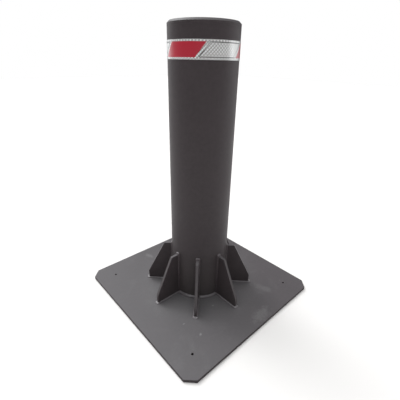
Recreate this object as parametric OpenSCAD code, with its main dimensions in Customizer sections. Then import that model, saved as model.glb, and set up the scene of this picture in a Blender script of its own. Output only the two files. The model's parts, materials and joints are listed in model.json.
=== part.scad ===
// Fixed street bollard: a capped steel post on a square foot plate, stiffened by
// eight radial gussets, with a band of reflective tape below the cap.
// The origin is the centre of the foot plate's underside, and +Z is up.

/* [Foot plate] */
// Side of the square foot plate
plate_side = 660; // [540:10:900]
// Thickness of the foot plate
plate_thick = 12; // [8:1:25]
// Leg of the cropped corners
plate_crop = 30; // [5:1:45]
// Distance from an anchor hole's centre to the plate's two nearest edges
anchor_inset = 75; // [50:1:90]
// Diameter of the anchor holes
anchor_hole_d = 8; // [6:0.5:18]

/* [Post] */
// Outer diameter of the post
post_d = 219.1; // [168.3:0.1:273]
// Wall thickness of the post
post_wall = 6.3; // [4:0.1:12.5]
// Height of the post and its cap above the foot plate
post_height = 950; // [600:10:1200]

/* [Cap] */
// Thickness of the cap disc
cap_thick = 12; // [10:1:25]
// Leg of the bevel round the cap's top edge
cap_bevel = 6; // [1:0.5:6.5]

/* [Gussets] */
// Reach of a gusset along the foot plate, outwards from the post
gusset_reach = 102; // [60:1:125]
// Height of a gusset above the foot plate
gusset_height = 180; // [80:1:300]
// Width of a gusset's flat top, outwards from the post
gusset_top = 32; // [15:1:55]
// Height of a gusset's upright outer end
gusset_toe = 36; // [15:1:70]
// Thickness of a gusset
gusset_thick = 10; // [5:1:15]

/* [Welds] */
// Leg of the fillet welds round each gusset
gusset_weld_leg = 5; // [3:0.5:8]
// Leg of the fillet weld between the post and the foot plate
foot_weld_leg = 7; // [4:0.5:10]
// Depth of the groove weld between the post and the cap
cap_weld_depth = 3; // [1.5:0.5:3.5]
// How far a weld's face bulges past a straight one
weld_crown = 0.5; // [0.1:0.1:0.8]

/* [Reflective tape] */
// Width of the tape
tape_width = 50; // [30:1:80]
// Thickness of the tape
tape_thick = 0.5; // [0.3:0.1:1]
// Distance from the tape's upper edge to the top of the cap
tape_drop = 50; // [30:1:120]
// Length by which the tape's end laps over its start
tape_lap = 12; // [5:1:30]
// Direction of the lap, counted from +X towards +Y
tape_lap_angle = 19; // [0:1:359]
// Clear margin above and below the coloured blocks
tape_margin = 5.5; // [2:0.5:12]
// Length of a coloured block along the tape
block_length = 112.5; // [60:0.5:125]
// Clear gap between two blocks
block_gap = 10; // [4:0.5:20]
// Lean of the blocks' ends from upright
block_lean = 39; // [0:1:45]
// Thickness of the red film
film_thick = 0.1; // [0.1:0.05:0.3]

/* [Hidden] */
$fn = 96;
GUSSETS = 8;

PAINT = "dimgray";
BEAD = "gray";
// Overlap of a cutting body past the face that it cuts
CUT = 1;
// Straight steps that make up a weld's bulged face
WELD_STEPS = 6;

post_r = post_d / 2;
total_height = plate_thick + post_height;
cap_bottom = total_height - cap_thick;
gusset_end = post_r + gusset_reach;
anchor_offset = plate_side / 2 - anchor_inset;
tape_bottom = total_height - tape_drop - tape_width;
tape_r = post_r + tape_thick;
block_height = tape_width - 2 * tape_margin;
block_slant = block_height / 2 * tan(block_lean);
block_half = block_length / 2 + block_slant;
// Distance along the tape from its start to the middle of the first red block, clear of the lap
first_block = tape_lap + block_gap / 2 + block_half;
// Distance between red blocks. A clear block of the same length lies between two of them.
block_pitch = 2 * (block_length + block_gap);
red_blocks = floor((PI * post_d - first_block - block_half) / block_pitch) + 1;

// Angle round the post that a length along its surface covers
function arc_angle(length) = length / post_r * 180 / PI;

// Cross-section of a fillet weld in the corner of +X and +Y, with a bulged face
function fillet(leg) = concat(
    [[0, 0]],
    [for (i = [0:WELD_STEPS]) let (u = i / WELD_STEPS) leg * [1 - u, u] + 4 * u * (1 - u) * weld_crown * [1, 1]]
);

// The same cross-section with its root carried on past the corner, to be cut off at the post
function rooted_fillet(leg) = concat([[-CUT, leg], [-CUT, 0]], [for (p = fillet(leg)) if (p != [0, 0]) p]);

// The space that the post fills
module post_space() {
    cylinder(r = post_r, h = total_height);
}

// Turns the X-Y plane into the Y-Z plane, so that an extrusion runs along +X
module facing_x() {
    rotate([90, 0, 90]) children();
}

// Turns the X-Y plane into the X-Z plane, so that an extrusion runs along -Y
module facing_y() {
    rotate([90, 0, 0]) children();
}

// Places its children in a gusset's own frame, where +X runs out from the post
module at_gusset(number) {
    rotate([0, 0, (number - 1) * 360 / GUSSETS]) translate([0, 0, plate_thick]) children();
}

module base_plate() {
    half = plate_side / 2;
    cropped = half - plate_crop;
    color(PAINT) difference() {
        linear_extrude(plate_thick)
            polygon([
                [cropped, -half], [half, -cropped], [half, cropped], [cropped, half],
                [-cropped, half], [-half, cropped], [-half, -cropped], [-cropped, -half]
            ]);
        for (x = [-anchor_offset, anchor_offset], y = [-anchor_offset, anchor_offset])
            translate([x, y, -CUT]) cylinder(d = anchor_hole_d, h = plate_thick + 2 * CUT);
    }
}

// Tube with a bevel round the outside of its upper end, which is half of the cap weld's groove
module post_tube() {
    bore_r = post_r - post_wall;
    color(PAINT) rotate_extrude()
        polygon([
            [bore_r, plate_thick], [post_r, plate_thick], [post_r, cap_bottom - cap_weld_depth],
            [post_r - cap_weld_depth, cap_bottom], [bore_r, cap_bottom]
        ]);
}

// Disc that closes the tube, bevelled at the top and, for the cap weld, at the bottom
module top_cap() {
    color(PAINT) rotate_extrude()
        polygon([
            [0, cap_bottom], [post_r - cap_weld_depth, cap_bottom], [post_r, cap_bottom + cap_weld_depth],
            [post_r, total_height - cap_bevel], [post_r - cap_bevel, total_height], [0, total_height]
        ]);
}

// Weld that fills the groove between the tube and the cap, ground flush with both
module cap_weld() {
    color(BEAD) rotate_extrude()
        polygon([
            [post_r - cap_weld_depth, cap_bottom], [post_r, cap_bottom - cap_weld_depth],
            [post_r, cap_bottom + cap_weld_depth]
        ]);
}

// Fillet weld round the foot of the post, broken where each gusset and its own welds stand
module foot_weld() {
    break_w = gusset_thick + 2 * gusset_weld_leg;
    reach = post_r + foot_weld_leg + CUT;
    color(BEAD) difference() {
        translate([0, 0, plate_thick])
            rotate_extrude() translate([post_r, 0]) polygon(fillet(foot_weld_leg));
        for (i = [1:GUSSETS])
            at_gusset(i) translate([0, -break_w / 2, -CUT]) cube([reach, break_w, foot_weld_leg + 2 * CUT]);
    }
}

module gusset(number) {
    color(PAINT) at_gusset(number) translate([0, gusset_thick / 2, 0]) facing_y()
        linear_extrude(gusset_thick)
            polygon([
                [post_r, 0], [gusset_end, 0], [gusset_end, gusset_toe],
                [post_r + gusset_top, gusset_height], [post_r, gusset_height]
            ]);
}

// The welds on one side of a gusset: up the post, along the plate and round the two corners
module gusset_side_weld() {
    translate([0, gusset_thick / 2, 0]) {
        translate([post_r, 0, 0]) linear_extrude(gusset_height) polygon(rooted_fillet(gusset_weld_leg));
        translate([post_r - CUT, 0, 0]) facing_x()
            linear_extrude(gusset_reach + CUT) polygon(fillet(gusset_weld_leg));
        translate([gusset_end, 0, 0]) rotate_extrude(angle = 90) polygon(fillet(gusset_weld_leg));
        translate([post_r - CUT, 0, gusset_height]) facing_x() rotate_extrude(angle = 90) {
            square([gusset_weld_leg, CUT]);
            translate([0, CUT]) polygon(fillet(gusset_weld_leg));
        }
    }
}

// One bead that runs right round a gusset, along the post and the plate
module gusset_weld(number) {
    color(BEAD) at_gusset(number) difference() {
        union() {
            gusset_side_weld();
            mirror([0, 1, 0]) gusset_side_weld();
            translate([gusset_end, gusset_thick / 2, 0]) facing_y()
                linear_extrude(gusset_thick) polygon(fillet(gusset_weld_leg));
            translate([post_r, gusset_thick / 2, gusset_height]) facing_y()
                linear_extrude(gusset_thick) polygon(rooted_fillet(gusset_weld_leg));
        }
        translate([0, 0, -plate_thick]) post_space();
    }
}

// A ring round the post from one radius to another, over part of the tape's width
module tape_ring(inner_r, outer_r, bottom, height, angle = 360) {
    rotate_extrude(angle = angle) translate([inner_r, bottom]) square([outer_r - inner_r, height]);
}

// Tape wound once round the post, with its end lapped over its start
module reflective_tape() {
    color("gainsboro") rotate([0, 0, tape_lap_angle]) {
        tape_ring(post_r, tape_r, tape_bottom, tape_width);
        tape_ring(tape_r, tape_r + tape_thick, tape_bottom, tape_width, arc_angle(tape_lap));
    }
}

// Red blocks of film on the tape, each a parallelogram bent round the post
module red_film() {
    corners = [
        for (c = [[-1, -1], [1, -1], [1, 1], [-1, 1]])
            [tape_r * sin(arc_angle(c[0] * block_length / 2 + c[1] * block_slant)), c[1] * block_height / 2]
    ];
    color("firebrick") for (i = [0:red_blocks - 1])
        rotate([0, 0, tape_lap_angle + arc_angle(first_block + i * block_pitch)]) intersection() {
            tape_ring(tape_r, tape_r + film_thick, tape_bottom, tape_width);
            translate([0, 0, tape_bottom + tape_width / 2]) facing_x()
                linear_extrude(tape_r + tape_width) polygon(corners);
        }
}

base_plate();
post_tube();
top_cap();
cap_weld();
foot_weld();
reflective_tape();
red_film();
for (i = [1:GUSSETS]) {
    gusset(i);
    gusset_weld(i);
}
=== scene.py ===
import json
import math

import bmesh
import bpy
from mathutils import Matrix, Vector, noise


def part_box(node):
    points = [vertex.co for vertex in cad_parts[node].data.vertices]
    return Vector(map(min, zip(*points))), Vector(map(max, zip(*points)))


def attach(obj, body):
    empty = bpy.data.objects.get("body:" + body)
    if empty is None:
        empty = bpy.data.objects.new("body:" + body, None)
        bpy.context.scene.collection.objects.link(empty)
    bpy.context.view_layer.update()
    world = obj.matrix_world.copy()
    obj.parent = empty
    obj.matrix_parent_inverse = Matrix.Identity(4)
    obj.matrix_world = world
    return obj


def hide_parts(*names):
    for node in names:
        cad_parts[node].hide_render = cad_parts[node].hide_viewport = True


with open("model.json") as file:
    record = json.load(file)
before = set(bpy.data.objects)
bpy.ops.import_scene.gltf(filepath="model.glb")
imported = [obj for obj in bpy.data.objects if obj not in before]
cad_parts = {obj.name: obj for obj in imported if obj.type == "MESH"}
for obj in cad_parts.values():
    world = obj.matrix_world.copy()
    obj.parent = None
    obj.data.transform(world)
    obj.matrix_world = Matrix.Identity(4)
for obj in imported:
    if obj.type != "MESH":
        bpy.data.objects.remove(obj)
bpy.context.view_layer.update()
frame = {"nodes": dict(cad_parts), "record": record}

GUSSETS = 8
# One millimetre, in the scene's metres
MM = 0.001
X = Vector((1, 0, 0))
Y = Vector((0, 1, 0))
Z = Vector((0, 0, 1))

# Places and sizes read from the frame, in metres
plate_low, plate_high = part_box("base_plate")
tube_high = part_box("post_tube")[1]
gusset_low, gusset_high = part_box("gusset_1")
gusset_weld_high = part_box("gusset_weld_1")[1]
foot_weld_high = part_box("foot_weld")[1]
tape_low, tape_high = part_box("reflective_tape")

PLATE_TOP = plate_high.z
POST_R = tube_high.x
GUSSET_HALF = (gusset_high.y - gusset_low.y) / 2
GUSSET_TOP = gusset_high.z
GUSSET_END = gusset_high.x
GUSSET_LEG = gusset_weld_high.y - GUSSET_HALF
FOOT_LEG = foot_weld_high.z - PLATE_TOP


# ---------------------------------------------------------------- node helpers
def feed(tree, socket, value):
    """Links value to the socket if it is another socket, and sets it there if not."""
    if isinstance(value, bpy.types.NodeSocket):
        tree.links.new(value, socket)
    else:
        socket.default_value = value


def add_node(tree, kind, inputs=None, **settings):
    made = tree.nodes.new(kind)
    for key, value in settings.items():
        setattr(made, key, value)
    for key, value in (inputs or {}).items():
        feed(tree, made.inputs[key], value)
    return made


class Material:
    """A new material, with short calls that add and link its nodes."""

    def __init__(self, name):
        self.material = bpy.data.materials.new(name)
        self.material.use_nodes = True
        self.tree = self.material.node_tree
        self.coords = self.add("ShaderNodeTexCoord").outputs["Object"]

    def add(self, kind, inputs=None, **settings):
        return add_node(self.tree, kind, inputs, **settings)

    def math(self, operation, a, b=0.0):
        return self.add("ShaderNodeMath", {0: a, 1: b}, operation=operation).outputs[0]

    def times(self, a, b):
        return self.math("MULTIPLY", a, b)

    def noise(self, scale, detail, roughness=0.5, distortion=0.0):
        settings = {
            "Vector": self.coords,
            "Scale": scale,
            "Detail": detail,
            "Roughness": roughness,
            "Distortion": distortion,
        }
        return self.add("ShaderNodeTexNoise", settings).outputs["Fac"]

    def ramp(self, value, low, high, to_low=0.0, to_high=1.0):
        """A smooth step from to_low at low to to_high at high."""
        limits = {"From Min": low, "From Max": high, "To Min": to_low, "To Max": to_high}
        made = self.add("ShaderNodeMapRange", {"Value": value, **limits}, interpolation_type="SMOOTHSTEP")
        return made.outputs["Result"]

    def mix(self, factor, a, b):
        # The colour sockets of a mix node are its seventh and eighth
        return self.add("ShaderNodeMix", {0: factor, 6: a, 7: b}, data_type="RGBA").outputs[2]

    def bump(self, height, distance, strength, under=None):
        made = self.add("ShaderNodeBump", {"Height": height, "Distance": distance, "Strength": strength})
        if under is not None:
            feed(self.tree, made.inputs["Normal"], under)
        return made.outputs["Normal"]

    def part(self, vector, axis):
        """One of a vector's parts: 0, 1 or 2 for X, Y or Z."""
        return self.add("ShaderNodeSeparateXYZ", {0: vector}).outputs[axis]

    def length(self, vector):
        return self.add("ShaderNodeVectorMath", {0: vector}, operation="LENGTH").outputs["Value"]

    def facing_up(self):
        """How far the surface faces up, from -1 to 1."""
        return self.part(self.add("ShaderNodeNewGeometry").outputs["Normal"], 2)

    def finish(self, **sockets):
        shader = self.tree.nodes["Principled BSDF"]
        for key, value in sockets.items():
            feed(self.tree, shader.inputs[key.replace("_", " ")], value)
        return self.material


def grey(value, tint=(1.0, 1.0, 1.0)):
    return (value * tint[0], value * tint[1], value * tint[2], 1.0)


# ---------------------------------------------------------------- paint, dust and painted light
# The coat's tone and tint, and its darkest, lightest and mottled shares of that tone
PAINT = 0.038
PAINT_TINT = (1.16, 0.93, 1.01)
DARKER, LIGHTER, MOTTLED = 0.93, 1.09, 1.45
MOTTLE_STRENGTH = 0.28
PAINT_ROUGH = (0.5, 0.56)
# Painted light: a lighter, warmer tone low on the post and gussets, for the light bounced up at the foot
PAINTED_FOOT_LIGHT_TONE = grey(0.2, (1.08, 1.0, 0.94))
# Tone on what faces up: settled dust and painted sheen
DUST_AND_SHEEN_TONE = grey(0.2, (0.98, 1.0, 1.02))
# Painted light: tone of the lighter pool round the post's foot
PAINTED_POOL_TONE = grey(0.2)
FILM_TONE = grey(0.3, (1.0, 1.0, 0.98))
GRIT_TONE = grey(0.3, (1.0, 0.98, 0.95))
# Tone of the beads' up-facing faces: dust and painted sheen
BEAD_DUST_AND_SHEEN_TONE = grey(0.3, (0.97, 1.0, 1.02))
# How far the painted foot light, a lighter and warmer tone near the plate, reaches above the plate
PAINTED_FOOT_LIGHT_HEIGHT = 0.24
# How far from the post's axis the painted pool of light round its foot reaches
PAINTED_POOL_REACH = POST_R * 2.7
# Half the width over which the painted side light shifts the lighter top tone from -X to +X
SIDE_LIGHT_HALF = 0.3
# Rubbed streaks and small marks of dust on the plate, the first a painted lit patch between two gusset
# shadows:
# place, half length and half width in millimetres, turn in degrees, strength
MARKS_AND_LIT_PATCH = [
    # Painted light: a patch of the plate lit between the shadows of two gussets
    (162, -215, 60, 20, -68, 0.14),
    (40, -300, 70, 28, 5, 0.2),
    (-72, 275, 30, 14, -80, 0.25),
    (-61, -151, 8, 4, -20, 0.5),
    (-200, -145, 6, 4, 0, 0.6),
    (-185, -217, 8, 5, 30, 0.45),
]
# Depth over which a streak on the plate counts, so that none shows on the underside
SMEAR_DEPTH = 10 * MM
# How far a streak's outline frays, as a share of its size, and where in it the fading starts
SMEAR_FRAY = 0.3
SMEAR_FADE = 0.2
# Share of a streak that stays where the dust has no grain, and how much rougher a full film is
STREAK_GROUND = 0.4
FILM_ROUGH = 0.3
# Grit: cells in a metre, a speck's size in cells, how few cells have one and how strong it is
GRIT_CELLS = 42.0
GRIT_SIZE = 0.045
GRIT_RARITY = 0.66
GRIT_STRENGTH = 0.55
# Noise patterns: scale, detail, roughness, distortion
CLOUDS = (7.0, 4.0, 0.6)
MOTTLE = (90.0, 3.0, 0.65)
DUST_PATCHES = (11.0, 6.0, 0.62, 0.6)
DUST_GRAIN = (420.0, 2.0, 0.7)
FRAYING = (60.0, 4.0, 0.7)
GRIT_PATCHES = (31.0, 0.0)
ORANGE_PEEL = (520.0, 2.0)
POWDER = (2300.0, 1.0)


def soft_patch(t, x, y, long, wide, turn):
    """A soft streak on the plate: 1 at its middle and 0 outside."""
    place = {
        "Vector": t.coords,
        "Location": (x * MM, y * MM, PLATE_TOP),
        "Rotation": (0, 0, math.radians(turn)),
        "Scale": (long * MM, wide * MM, SMEAR_DEPTH),
    }
    local = t.add("ShaderNodeMapping", place, vector_type="TEXTURE").outputs[0]
    frayed = t.ramp(t.noise(*FRAYING), 0.3, 0.7, -SMEAR_FRAY, SMEAR_FRAY)
    return t.ramp(t.math("ADD", t.length(local), frayed), SMEAR_FADE, 1.0, 1.0, 0.0)


def dust_film_and_lit_patch(t, lying, dust, marks_and_lit_patch):
    """Thin dust in patches on what faces up, and in the streaks, one of which is a painted lit patch."""
    patches = t.ramp(t.noise(*DUST_PATCHES), 0.5, 0.9)
    grain = t.ramp(t.noise(*DUST_GRAIN), 0.42, 0.62)
    film = t.times(t.times(lying, patches), t.times(grain, dust))
    for *place, strength in marks_and_lit_patch:
        streak = t.times(soft_patch(t, *place), strength)
        streak = t.times(streak, t.math("ADD", t.times(grain, 1 - STREAK_GROUND), STREAK_GROUND))
        film = t.math("MAXIMUM", film, streak)
    return film


def powder_coat(
    name,
    base=PAINT,
    dust=0.25,
    dust_and_sheen=0.12,
    shelf=(0.3, 0.95),
    painted_foot_light=0.0,
    corner=0.0,
    painted_side_light=0.0,
    gloss=0.3,
    marks_and_lit_patch=(),
):
    """Satin powder coat: fine orange peel, a little uneven in tone, with dust, painted light and stray specks.

    dust is how strong a film of dust in patches is. dust_and_sheen is how strong the lighter tone on what
    faces up is, settled dust and painted sheen. painted_foot_light and corner are how strong the painted light
    low down and the painted pool of light round the post's foot are. shelf is how far a face has to face up
    for none and for all of the dust and sheen to lie on it, and painted_side_light is how much of the sheen
    shifts towards -X, painted light from that side.
    """
    t = Material(name)
    broad = t.ramp(t.noise(*CLOUDS), 0.3, 0.7)
    mottle = t.ramp(t.noise(*MOTTLE), 0.3, 0.72)
    tone = t.mix(broad, grey(base * DARKER, PAINT_TINT), grey(base * LIGHTER, PAINT_TINT))
    tone = t.mix(t.times(mottle, MOTTLE_STRENGTH), tone, grey(base * MOTTLED, PAINT_TINT))
    # Painted light: lighter and warmer towards the plate, for the light bounced up at the post's foot
    if painted_foot_light:
        low = t.ramp(t.part(t.coords, 2), PLATE_TOP, PLATE_TOP + PAINTED_FOOT_LIGHT_HEIGHT, 1.0, 0.0)
        tone = t.mix(t.times(low, painted_foot_light), tone, PAINTED_FOOT_LIGHT_TONE)
    lying = t.ramp(t.facing_up(), *shelf)
    # Faces that face up are drawn lighter: settled dust and painted sheen of the overhead light
    amount = t.times(lying, dust_and_sheen)
    # Painted light: the lighter top tone is stronger towards -X and weaker towards +X, as the light falls from
    # that side
    if painted_side_light:
        side_lit = t.ramp(t.part(t.coords, 0), -SIDE_LIGHT_HALF, SIDE_LIGHT_HALF, 1 + painted_side_light, 1 - painted_side_light)
        amount = t.times(amount, side_lit)
    tone = t.mix(amount, tone, DUST_AND_SHEEN_TONE)
    if corner:
        # Painted light: a lighter pool round the foot of the post, filling the shade there
        level = t.add("ShaderNodeVectorMath", {0: t.coords, 1: (1, 1, 0)}, operation="MULTIPLY")
        near = t.ramp(t.length(level.outputs[0]), POST_R, PAINTED_POOL_REACH, 1.0, 0.0)
        tone = t.mix(t.times(t.times(near, corner), lying), tone, PAINTED_POOL_TONE)
    # The dust film and the painted lit patch share one light tone
    film = dust_film_and_lit_patch(t, lying, dust, marks_and_lit_patch)
    tone = t.mix(film, tone, FILM_TONE)
    # Stray light specks of grit in the coat, in some of the cells only
    cells = t.add("ShaderNodeTexVoronoi", {"Vector": t.coords, "Scale": GRIT_CELLS, "Randomness": 1.0})
    chosen = t.math("GREATER_THAN", t.noise(*GRIT_PATCHES), GRIT_RARITY)
    speck = t.times(t.math("LESS_THAN", cells.outputs["Distance"], GRIT_SIZE), chosen)
    tone = t.mix(t.times(speck, GRIT_STRENGTH), tone, GRIT_TONE)
    rough = t.math("ADD", t.ramp(broad, 0.0, 1.0, *PAINT_ROUGH), t.times(film, FILM_ROUGH))
    peel = t.bump(t.noise(*ORANGE_PEEL), 0.22 * MM, 0.35)
    powder = t.bump(t.noise(*POWDER), 0.05 * MM, 0.3, peel)
    return t.finish(Base_Color=tone, Roughness=rough, Normal=powder, Specular_IOR_Level=gloss, Metallic=0.0)


# The coat on the beads: its darkest, lightest and spattered shares of the paint's tone, drawn lighter than the
# paint itself, painted light that the rounded beads catch
BEAD_DARK, BEAD_LIGHT, BEAD_SPATTER = 1.5, 2.2, 3.0
SPATTER_STRENGTH = 0.35
BEAD_DUST_AND_SHEEN_STRENGTH = 0.19
BEAD_ROUGH = (0.34, 0.46)
BEAD_GLOSS = 0.45
BEAD_PATCHES = (160.0, 4.0, 0.6)
SPATTER = (700.0, 3.0, 0.6)
BEAD_LUMPS = (420.0, 3.0, 0.55)


def weld_coat():
    """The same coat on a weld bead, patchy and glossier, drawn lighter than the paint as painted light, and
    lighter still where it faces up, dust and painted sheen.
    """
    t = Material("painted_weld_coat")
    patchy = t.ramp(t.noise(*BEAD_PATCHES), 0.35, 0.65)
    tone = t.mix(patchy, grey(PAINT * BEAD_DARK, PAINT_TINT), grey(PAINT * BEAD_LIGHT, PAINT_TINT))
    spatter = t.ramp(t.noise(*SPATTER), 0.55, 0.75)
    tone = t.mix(t.times(spatter, SPATTER_STRENGTH), tone, grey(PAINT * BEAD_SPATTER))
    # Dust and painted sheen: lighter where the bead faces up
    bead_dust_and_sheen = t.times(t.ramp(t.facing_up(), 0.2, 0.9), BEAD_DUST_AND_SHEEN_STRENGTH)
    tone = t.mix(bead_dust_and_sheen, tone, BEAD_DUST_AND_SHEEN_TONE)
    rough = t.ramp(patchy, 0.0, 1.0, *BEAD_ROUGH)
    lumps = t.bump(t.noise(*BEAD_LUMPS), 0.4 * MM, 0.5)
    return t.finish(Base_Color=tone, Roughness=rough, Normal=lumps, Specular_IOR_Level=BEAD_GLOSS)


# ---------------------------------------------------------------- mesh helpers
def make_object(name, bm, material):
    """Turns a bmesh into a smooth-shaded object of the scene."""
    bmesh.ops.recalc_face_normals(bm, faces=bm.faces)
    mesh = bpy.data.meshes.new(name)
    bm.to_mesh(mesh)
    bm.free()
    mesh.polygons.foreach_set("use_smooth", [True] * len(mesh.polygons))
    mesh.materials.append(material)
    piece = bpy.data.objects.new(name, mesh)
    bpy.context.scene.collection.objects.link(piece)
    return piece


# Weights of a face's area against its corners in smooth shading, for rounded and for flat pieces
ROUNDED_WEIGHT, FLAT_WEIGHT = 60, 100


def even_normals(piece, weight, **settings):
    normals = piece.modifiers.new("even", "WEIGHTED_NORMAL")
    normals.weight = weight
    for key, value in settings.items():
        setattr(normals, key, value)


def soften(node, width):
    """Rounds a CAD node's sharp edges a little, as the coat does, with modifiers alone."""
    weld = node.modifiers.new("join", "WELD")
    weld.merge_threshold = 0.01 * MM
    bevel = node.modifiers.new("round", "BEVEL")
    bevel.width = width
    bevel.segments = 2
    bevel.limit_method = "ANGLE"
    bevel.angle_limit = math.radians(30)
    bevel.harden_normals = False
    even_normals(node, ROUNDED_WEIGHT, keep_sharp=False)


def loop_pairs(count):
    """Each place on a closed loop with the one after it."""
    return [(k, (k + 1) % count) for k in range(count)]


def bridge(bm, a, b):
    """Joins two closed loops of vertices with a strip of faces."""
    return [bm.faces.new((a[k], a[after], b[after], b[k])) for k, after in loop_pairs(len(a))]


# ---------------------------------------------------------------- foot plate
EDGE_ROUND = 0.9 * MM
HOLE_ROUND = 0.6 * MM
ROUND_STEPS = 4
HOLE_SIDES = 40
# How far a vertex may be from a face's plane and still count as on it
ON_FACE = 0.01 * MM


def rounded_loops(corners, low, high, radius):
    """Loops of a wall with rounded top and bottom edges: corners are (point, unit way into the metal)."""
    loops = []
    for end, sign in ((low, 1), (high, -1)):
        part = []
        for k in range(ROUND_STEPS + 1):
            angle = math.pi / 2 * k / ROUND_STEPS
            inset = radius * (1 - math.sin(angle))
            z = end + sign * radius * (1 - math.cos(angle))
            part.append([point + way * inset + Z * z for point, way in corners])
        loops += part if sign > 0 else part[::-1]
    return loops


def add_wall(bm, loops):
    """Joins loops into a wall and returns the vertices of its first and last loop."""
    rings = [[bm.verts.new(p) for p in loop] for loop in loops]
    for a, b in zip(rings, rings[1:]):
        bridge(bm, a, b)
    return rings[0], rings[-1]


def plate_outline():
    """The cropped square's corners, read from the CAD plate, with the way into the metal at each."""
    half = plate_high.x
    tops = [v.co for v in frame["nodes"]["base_plate"].data.vertices if v.co.z > PLATE_TOP - ON_FACE]
    reach = max(v.y for v in tops if v.x > half - ON_FACE)
    # Moving in by one unit from both edges that meet at a corner moves this far along the longer one
    slope = math.tan(math.radians(22.5))
    corners = []
    for x, y in (
        (half, -reach),
        (half, reach),
        (reach, half),
        (-reach, half),
        (-half, reach),
        (-half, -reach),
        (-reach, -half),
        (reach, -half),
    ):
        in_x = -math.copysign(1 if abs(x) > abs(y) else slope, x)
        in_y = -math.copysign(slope if abs(x) > abs(y) else 1, y)
        corners.append((Vector((x, y, 0)), Vector((in_x, in_y, 0))))
    return corners


def make_plate(material):
    """The foot plate with its edges and hole mouths rounded by the coat."""
    mounts = {m["name"]: m for m in frame["record"]["mounts"]}
    dims = mounts["anchor_holes"]["dims"]
    hole_x, hole_y = dims["spacing_x_mm"] / 2 * MM, dims["spacing_y_mm"] / 2 * MM
    hole_r = dims["hole_r_mm"] * MM
    low, high = plate_low.z, plate_high.z
    bm = bmesh.new()
    rims = [add_wall(bm, rounded_loops(plate_outline(), low, high, EDGE_ROUND))]
    for x in (-hole_x, hole_x):
        for y in (-hole_y, hole_y):
            circle = []
            for k in range(HOLE_SIDES):
                angle = math.tau * k / HOLE_SIDES
                way = Vector((math.cos(angle), math.sin(angle), 0))
                circle.append((Vector((x, y, 0)) + way * hole_r, way))
            rims.append(add_wall(bm, rounded_loops(circle, low, high, HOLE_ROUND)))
    for side in (0, 1):
        edges = []
        for rim in rims:
            ring = rim[side]
            edges += [bm.edges.get((ring[k], ring[after])) for k, after in loop_pairs(len(ring))]
        bmesh.ops.triangle_fill(bm, use_beauty=True, use_dissolve=False, edges=edges)
    piece = make_object("foot_plate", bm, material)
    even_normals(piece, FLAT_WEIGHT)
    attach(piece, "root")
    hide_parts("base_plate")


# ---------------------------------------------------------------- weld beads
# Points across a bead's face, how far it bulges, and the share of its leg that it is sunk into the metal
BEAD_STEPS = 6
BEAD_CROWN = 0.5 * MM
BEAD_SUNK = 0.12
# Ripples: from one to the next, their height, and how many sections the sweep has for each
RIPPLE = 3.1 * MM
RIPPLE_HEIGHT = 0.4 * MM
RIPPLE_SECTIONS = 5
SECTION_GAP = RIPPLE / RIPPLE_SECTIONS
# How far a ripple trails at the bead's sides and how uneven it is, in ripples
RIPPLE_BOW = 0.55
RIPPLE_JITTER = 0.35
# A ripple's shape: a power below 1 makes it rise steeply and fall slowly, and a share of its height
# lies below the bead's face
RIPPLE_POWER = 0.7
RIPPLE_BELOW = 0.4
# Share of the ripple that is left at the bead's edges
RIPPLE_EDGE = 0.25
# The middle of a bead's section, in legs from its root both ways, and how uneven its width is
BEAD_MIDDLE = 0.4
WIDTH_JITTER = 0.1
# How fast the uneven width and ripples change along the bead, per metre
WIDTH_CHANGE = 160
RIPPLE_CHANGE = 300
# Where the beads' uneven widths are read from, and steps between the kinds of bead in their seeds
NOISE_ROW, NOISE_DEPTH = 7.3, 0.5
PLATE_SEED, FOOT_SEED = 20, 40
FAN_STEPS = 12
# Widths of a gusset's beads in legs, along its sides and past its end, on the post and on the plate
POST_BEAD = (0.8, 1.5)
PLATE_BEAD = (1.1, 1.7)
# Height of the bead on the plate and width of the one round the post's foot, in legs
PLATE_BEAD_HEIGHT = 0.75
FOOT_BEAD_WIDTH = 1.3
# How far a gusset's beads start into the foot weld, up the post and out along the plate, in its legs
START_UP, START_OUT = 0.3, 0.2
# How far from a gusset the foot weld stops, in legs of the gusset's own weld
FOOT_CLEAR = 0.7


def bead(bm, path, leg, seed):
    """Sweeps a rippled fillet along path, a list of (root, direction one, direction two)."""
    travel = 0.0
    last = None
    rings = []
    for root, one, two in path:
        middle = root + (one + two) * leg * BEAD_MIDDLE
        if last is not None:
            travel += (middle - last).length
        last = middle
        widening = noise.noise(Vector((travel * WIDTH_CHANGE, seed * NOISE_ROW, NOISE_DEPTH)))
        size = leg * (1 + WIDTH_JITTER * widening)
        out = (one + two).normalized()
        sunk = leg * BEAD_SUNK
        points = [root - (one + two) * sunk, root + one * size - two * sunk]
        for step in range(BEAD_STEPS + 1):
            u = step / BEAD_STEPS
            bulge = 4 * u * (1 - u)
            uneven = noise.noise(Vector((travel * RIPPLE_CHANGE, seed, u)))
            phase = travel / RIPPLE + RIPPLE_BOW * (2 * u - 1) ** 2 + RIPPLE_JITTER * uneven
            crest = math.sin(math.pi * (phase % 1.0) ** RIPPLE_POWER) - RIPPLE_BELOW
            height = BEAD_CROWN * bulge + RIPPLE_HEIGHT * (bulge + RIPPLE_EDGE) * crest
            face = root + one * size * (1 - u) + two * size * u + (one + two) * BEAD_CROWN * bulge
            points.append(face + out * height)
        points.append(root + two * size - one * sunk)
        rings.append([bm.verts.new(p) for p in points])
    for a, b in zip(rings, rings[1:]):
        bridge(bm, a, b)
    bm.faces.new(rings[0])
    bm.faces.new(rings[-1])


def line(start, end, one, two):
    """The bead's straight run from start up to end, without end itself."""
    steps = max(2, int((end - start).length / SECTION_GAP))
    return [(start.lerp(end, k / steps), one, two) for k in range(steps)]


def fan(root, start, end, two):
    """The bead's turn round a corner, where one of its directions swings from start to end."""
    turn = []
    for k in range(FAN_STEPS):
        angle = math.pi / 2 * k / FAN_STEPS
        turn.append((root, start * math.cos(angle) + end * math.sin(angle), two))
    return turn


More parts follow.
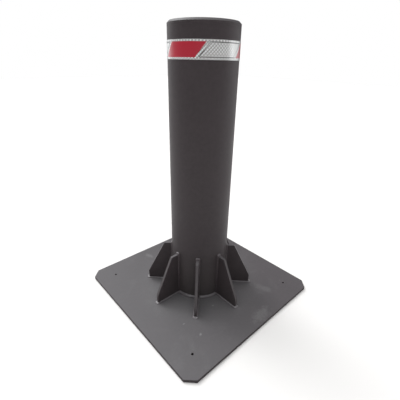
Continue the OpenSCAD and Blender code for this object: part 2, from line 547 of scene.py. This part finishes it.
def gusset_path(along, up, foot, reach, beside, ahead):
    """Out along one side of a gusset, round its end and back along the other side.

    along is the way out and up is the normal of the plate or post that the gusset stands on. The bead is
    beside times its leg wide along the sides and ahead times its leg long past the end.
    """
    corner_a = foot + Y * GUSSET_HALF + along * reach
    corner_b = foot - Y * GUSSET_HALF + along * reach
    side = Y * beside
    tip = along * ahead
    path = line(corner_a - along * reach, corner_a, side, up)
    path += fan(corner_a, side, tip, up)
    path += line(corner_a, corner_b, tip, up)
    path += fan(corner_b, tip, -side, up)
    path += line(corner_b, corner_b - along * reach, -side, up)
    return path


def make_gusset_welds(material):
    on_post = Vector((POST_R, 0, PLATE_TOP + FOOT_LEG * START_UP))
    on_plate = Vector((POST_R + FOOT_LEG * START_OUT, 0, PLATE_TOP))
    post_path = gusset_path(Z, X, on_post, GUSSET_TOP - on_post.z, *POST_BEAD)
    plate_path = gusset_path(X, Z * PLATE_BEAD_HEIGHT, on_plate, GUSSET_END - on_plate.x, *PLATE_BEAD)
    for number in range(1, GUSSETS + 1):
        bm = bmesh.new()
        bead(bm, post_path, GUSSET_LEG, number)
        bead(bm, plate_path, GUSSET_LEG, number + PLATE_SEED)
        turn = Matrix.Rotation(math.radians((number - 1) * 360 / GUSSETS), 4, "Z")
        bmesh.ops.transform(bm, matrix=turn, verts=bm.verts)
        piece = make_object("weld_gusset_%d" % number, bm, material)
        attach(piece, "root")
        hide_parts("gusset_weld_%d" % number)


def make_foot_weld(material):
    """The weld round the post's foot, in arcs that end inside the gussets' own welds."""
    bm = bmesh.new()
    clear = math.asin((GUSSET_HALF + GUSSET_LEG * FOOT_CLEAR) / POST_R)
    spread = math.tau / GUSSETS - 2 * clear
    steps = int(spread * POST_R / SECTION_GAP)
    for number in range(GUSSETS):
        path = []
        for k in range(steps + 1):
            angle = math.tau * number / GUSSETS + clear + spread * k / steps
            radial = Vector((math.cos(angle), math.sin(angle), 0))
            path.append((radial * POST_R + Z * PLATE_TOP, radial * FOOT_BEAD_WIDTH, Z))
        bead(bm, path, FOOT_LEG, number + FOOT_SEED)
    piece = make_object("weld_foot", bm, material)
    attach(piece, "root")
    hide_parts("foot_weld")


# ---------------------------------------------------------------- tape
# The tape's layout along its length, the same as on the CAD model's red film
TAPE_START = math.radians(19)
TAPE_THICK = 0.5 * MM
LAP = 12 * MM
LAP_STEP = 6 * MM
TAPE_LENGTH = math.tau * POST_R + LAP
TAPE_MIDDLE = (tape_low.z + tape_high.z) / 2
TAPE_MARGIN = 5.5 * MM
BLOCKS = 6
BLOCK = 112.5 * MM
BLOCK_GAP = 10 * MM
BLOCK_LEAN = math.tan(math.radians(39))
BLOCK_TOP = (tape_high.z - tape_low.z) / 2 - TAPE_MARGIN
FIRST_BLOCK = LAP + BLOCK_GAP / 2 + BLOCK_LEAN * BLOCK_TOP
OUTLINE = 2 * MM
LATTICE = 9.4 * MM
# Prisms in one cell of the lattice
PRISMS = 12
# How far a block stays short of the tape's cut end
END_CLEAR = 0.2 * MM
# How far the films stand above the tape's face, and how far their walls reach into it
RED_LIFT = 0.1 * MM
SILVER_LIFT = 0.08 * MM
INK_LIFT = 0.12 * MM
FILM_SUNK = 0.02 * MM
# Sections of the tape all the way round, and the mesh sizes of a film along and across it
BAND_STEPS = 420
FILM_STEP = 2.5 * MM
FILM_ROW = 6 * MM

# Share of the tape's thickness that its cut edges are bevelled by
BAND_BEVEL = 0.4
SILVER_LINE, SILVER_FACE = grey(0.03), grey(0.98)
RED_LINE, RED_FACE = (0.38, 0.012, 0.03, 1.0), (0.5, 0.017, 0.04, 1.0)
# Tone of the film's haze against its face, and the haze's noise
HAZE_SHARE = 0.95
HAZE = (24.0, 3.0, 0.6)
# Where a seal's dark line ends and its soft edge ends, in cells from its middle
SEAL = (0.055, 0.16)


def prismatic_film(name, line_tone, face_tone, weight, roughness):
    """Prismatic reflective film: a diamond lattice of fine seals over a bright ground, under a clear gloss."""
    t = Material(name)
    uv = t.add("ShaderNodeTexCoord").outputs["UV"]
    along, height = t.part(uv, 0), t.part(uv, 1)
    seals = []
    prisms = []
    for sign in (1.0, -1.0):
        across = t.math("ADD", along, t.times(height, sign))
        cell = t.math("PINGPONG", t.times(across, 1 / LATTICE), 0.5)
        seals.append(t.ramp(cell, *SEAL, 1.0, 0.0))
        prisms.append(t.math("PINGPONG", t.times(across, PRISMS / LATTICE), 0.5))
    net = t.math("MAXIMUM", *seals)
    haze = t.ramp(t.noise(*HAZE), 0.3, 0.7)
    dull_tone = (*(part * HAZE_SHARE for part in face_tone[:3]), 1.0)
    ground = t.mix(haze, dull_tone, face_tone)
    tone = t.mix(t.times(net, weight), ground, line_tone)
    fine = t.bump(t.math("ADD", *prisms), 0.04 * MM, 0.25)
    shape = t.bump(net, 0.12 * MM, 0.5, fine)
    return t.finish(
        Base_Color=tone,
        Normal=shape,
        Metallic=0.0,
        Roughness=roughness,
        Coat_Weight=1.0,
        Coat_Roughness=0.15,
    )


def ink():
    t = Material("outline_ink")
    tone = t.mix(t.ramp(t.noise(900.0, 2.0), 0.3, 0.7), grey(0.03), grey(0.05))
    return t.finish(Base_Color=tone, Roughness=0.4)


def tape_back(along):
    """Radius of the tape's back at a distance along it: the end steps up onto the start."""
    over = (along - (TAPE_LENGTH - LAP - LAP_STEP)) / LAP_STEP
    over = min(max(over, 0.0), 1.0)
    return POST_R + TAPE_THICK * over * over * (3 - 2 * over)


def tape_point(along, radius, z):
    angle = TAPE_START + along / POST_R
    return Vector((radius * math.cos(angle), radius * math.sin(angle), z))


def film_point(along, height, lift):
    """A point over the tape: distance along it, height above its middle, lift above its face."""
    return tape_point(along, tape_back(along) + TAPE_THICK + lift, TAPE_MIDDLE + height)


def new_film():
    """An empty bmesh with the map that the films' pattern follows: distance along the tape and height."""
    bm = bmesh.new()
    bm.loops.layers.uv.new("tape")
    return bm


def finish_film(name, bm, material, slot, *replaced):
    piece = make_object(name, bm, material)
    # Keeps a film's shading flat right up to its edges
    even_normals(piece, FLAT_WEIGHT, thresh=0.001)
    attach(piece, "root")
    if replaced:
        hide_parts(*replaced)


def make_band(material):
    """The tape itself, wound once round with its end stepped over its start."""
    bm = new_film()
    uv = bm.loops.layers.uv["tape"]
    low, high = tape_low.z, tape_high.z
    edge = TAPE_THICK * BAND_BEVEL
    rings = []
    for k in range(BAND_STEPS + 1):
        along = TAPE_LENGTH * k / BAND_STEPS
        back = tape_back(along)
        face = back + TAPE_THICK
        section = [(back, low), (face - edge, low), (face, low + edge)]
        section += [(face, high - edge), (face - edge, high), (back, high)]
        rings.append((along, [bm.verts.new(tape_point(along, *corner)) for corner in section]))
    for (along_a, a), (along_b, b) in zip(rings, rings[1:]):
        for face in bridge(bm, a, b):
            for loop in face.loops:
                along = along_a if loop.vert in a else along_b
                loop[uv].uv = (along, loop.vert.co.z - low)
    bm.faces.new(rings[0][1])
    bm.faces.new(rings[-1][1])
    finish_film("tape_band", bm, material, "tape_clear", "reflective_tape")


def lay_film(bm, ends, low, high, lift):
    """Lays a film with thin side walls on the tape, from height low to high.

    ends(height) gives where the film starts and stops along the tape.
    """
    uv = bm.loops.layers.uv["tape"]
    start, stop = ends(low)
    steps = max(1, int((stop - start) / FILM_STEP))
    rows = max(1, int((high - low) / FILM_ROW))
    grid = []
    for row in range(rows + 1):
        height = low + (high - low) * row / rows
        start, stop = ends(height)
        places = [(start + (stop - start) * k / steps, height) for k in range(steps + 1)]
        grid.append([(bm.verts.new(film_point(*place, lift)), place) for place in places])
    for below, above in zip(grid, grid[1:]):
        for k in range(steps):
            corners = (below[k], below[k + 1], above[k + 1], above[k])
            face = bm.faces.new([vert for vert, place in corners])
            places = dict(corners)
            for loop in face.loops:
                loop[uv].uv = places[loop.vert]
    # Once round the film's edge: along the bottom, up, back along the top and down
    rim = grid[0][:-1] + [across[-1] for across in grid[:-1]]
    rim += grid[-1][:0:-1] + [across[0] for across in grid[:0:-1]]
    inner = [bm.verts.new(film_point(*place, -FILM_SUNK)) for vert, place in rim]
    for k, after in loop_pairs(len(rim)):
        face = bm.faces.new((rim[k][0], rim[after][0], inner[after], inner[k]))
        for loop in face.loops:
            loop[uv].uv = rim[k][1]


def block_ends(number):
    """A function that gives where a leaning block starts and stops along the tape at a height."""
    left = FIRST_BLOCK + number * (BLOCK + BLOCK_GAP)

    def ends(height):
        start = left + BLOCK_LEAN * height
        return start, min(start + BLOCK, TAPE_LENGTH - END_CLEAR)

    return ends


def lay_outline(bm, ends):
    """The dark line round a clear block. A block that the tape's end cuts off has none there."""
    top, inside = BLOCK_TOP, BLOCK_TOP - OUTLINE
    lay_film(bm, ends, inside, top, INK_LIFT)
    lay_film(bm, ends, -top, -inside, INK_LIFT)
    lay_film(bm, lambda height: (ends(height)[0], ends(height)[0] + OUTLINE), -inside, inside, INK_LIFT)
    if ends(0.0)[0] + BLOCK < TAPE_LENGTH:
        lay_film(bm, lambda height: (ends(height)[1] - OUTLINE, ends(height)[1]), -inside, inside, INK_LIFT)


def make_tape():
    silver = prismatic_film("silver_prismatic_film", SILVER_LINE, SILVER_FACE, 1.0, 0.25)
    red = prismatic_film("red_prismatic_film", RED_LINE, RED_FACE, 0.3, 0.36)
    make_band(silver)
    red_bm, silver_bm, ink_bm = new_film(), new_film(), new_film()
    for number in range(BLOCKS):
        ends = block_ends(number)
        if number % 2 == 0:
            lay_film(red_bm, ends, -BLOCK_TOP, BLOCK_TOP, RED_LIFT)
        else:
            lay_film(silver_bm, ends, -BLOCK_TOP, BLOCK_TOP, SILVER_LIFT)
            lay_outline(ink_bm, ends)
    finish_film("tape_red_blocks", red_bm, red, "tape_red", "red_film")
    finish_film("tape_silver_blocks", silver_bm, silver, "tape_clear")
    finish_film("tape_outlines", ink_bm, ink(), "tape_clear")


# ---------------------------------------------------------------- the object
# The post's coat paints light low down: lighter and warmer near the plate
post_coat = powder_coat("post_coat", painted_foot_light=0.24)
# The gussets' paint is drawn 1.25 times lighter than the post's, painted light on their faces; their sloped
# tops also take the dust and painted sheen
gusset_coat = powder_coat("gusset_coat", base=PAINT * 1.25, dust_and_sheen=0.22, shelf=(0.1, 0.6), painted_foot_light=0.1)
# The plate's coat paints light: a pool round the post's foot, a lighter top tone towards -X, and a lit patch
# among the marks
plate_coat = powder_coat(
    "foot_plate_coat", dust=0.2, dust_and_sheen=0.21, corner=0.2, painted_side_light=0.3, gloss=0.15, marks_and_lit_patch=MARKS_AND_LIT_PATCH
)
bead_coat = weld_coat()

# The CAD nodes that stay, with their coat and how round it makes their edges
KEPT = {name: (post_coat, 0.6 * MM) for name in ("post_tube", "top_cap", "cap_weld")}
KEPT.update({"gusset_%d" % number: (gusset_coat, 0.8 * MM) for number in range(1, GUSSETS + 1)})
for name, (coat, width) in KEPT.items():
    node = frame["nodes"][name]
    node.data.materials.clear()
    node.data.materials.append(coat)
    soften(node, width)

make_plate(plate_coat)
make_gusset_welds(bead_coat)
make_foot_weld(bead_coat)
make_tape()

# ---------------------------------------------------------------- floor, light and camera
FLOOR_HALF = 14.0
FLOOR_CELLS = 40
FLOOR_DROP = 0.4 * MM
FLOOR_TINT = (1.03, 1.0, 0.98)
# Soft lobes of light: the way towards each, how tight it is and how bright
LOBES = [
    ((0.0, 0.0, 1.0), 6.0, 2.8),
    ((-0.07, 0.42, 0.9), 10.0, 3.0),
    ((-0.05, 1.0, 1.1), 90.0, 14.0),
    ((0.0, 1.0, 0.21), 12.0, 1.3),
    ((0.0, 1.0, 1.0), 5.0, 1.2),
    ((0.0, -1.0, 1.0), 5.0, 0.36),
    ((1.0, -0.17, 0.05), 20.0, 1.4),
    ((0.85, -0.6, 0.0), 50.0, 4.0),
]
LIGHT_TONE = (0.98, 1.0, 1.01, 1.0)
BACKDROP_TONE = (1.0, 1.0, 1.0, 1.0)
LENS = 26.32
SENSOR = 36.0
CLIP = (0.01, 100.0)
CAMERA_PLACE = (-0.6736, -0.7291, 0.8600)
# Bearing clockwise from +Y, dip below the horizon and roll of the view, in degrees
BEARING, DIP, ROLL = 42.669, 25.493, -1.239


def make_floor():
    bm = bmesh.new()
    bmesh.ops.create_grid(bm, x_segments=FLOOR_CELLS, y_segments=FLOOR_CELLS, size=FLOOR_HALF)
    t = Material("pale_floor")
    tone = t.mix(t.noise(3.0, 3.0), grey(0.63, FLOOR_TINT), grey(0.65, FLOOR_TINT))
    floor = make_object("floor", bm, t.finish(Base_Color=tone, Roughness=0.9))
    floor.location.z = plate_low.z - FLOOR_DROP


def make_light():
    """A studio of soft lobes. The camera sees plain white in its place."""
    world = bpy.data.worlds.new("studio")
    bpy.context.scene.world = world
    world.use_nodes = True
    sky = world.node_tree
    sky.nodes.clear()
    direction = add_node(sky, "ShaderNodeTexCoord").outputs["Generated"]
    total = 0.0
    for way, tight, bright in LOBES:
        towards = {0: direction, 1: Vector(way).normalized()}
        dot = add_node(sky, "ShaderNodeVectorMath", towards, operation="DOT_PRODUCT").outputs["Value"]
        facing = add_node(sky, "ShaderNodeMath", {0: dot, 1: 0.0}, operation="MAXIMUM").outputs[0]
        lobe = add_node(sky, "ShaderNodeMath", {0: facing, 1: tight}, operation="POWER").outputs[0]
        sums = {0: lobe, 1: bright, 2: total}
        total = add_node(sky, "ShaderNodeMath", sums, operation="MULTIPLY_ADD").outputs[0]
    studio = add_node(sky, "ShaderNodeBackground", {"Color": LIGHT_TONE, "Strength": total})
    backdrop = add_node(sky, "ShaderNodeBackground", {"Color": BACKDROP_TONE, "Strength": 1.0})
    seen = add_node(sky, "ShaderNodeLightPath").outputs["Is Camera Ray"]
    choice = {0: seen, 1: studio.outputs[0], 2: backdrop.outputs[0]}
    blend = add_node(sky, "ShaderNodeMixShader", choice)
    add_node(sky, "ShaderNodeOutputWorld", {"Surface": blend.outputs[0]})


def make_camera():
    data = bpy.data.cameras.new("camera")
    data.lens = LENS
    data.sensor_width = SENSOR
    data.clip_start, data.clip_end = CLIP
    camera = bpy.data.objects.new("camera", data)
    camera.location = CAMERA_PLACE
    forward = Y.copy()
    forward.rotate(Matrix.Rotation(math.radians(-DIP), 3, "X"))
    forward.rotate(Matrix.Rotation(math.radians(-BEARING), 3, "Z"))
    camera.rotation_mode = "QUATERNION"
    camera.rotation_quaternion = forward.to_track_quat("-Z", "Y")
    camera.rotation_quaternion.rotate(Matrix.Rotation(math.radians(ROLL), 3, forward))
    bpy.context.scene.collection.objects.link(camera)
    bpy.context.scene.camera = camera
    bpy.context.scene.view_settings.view_transform = "Standard"


make_floor()
make_light()
make_camera()
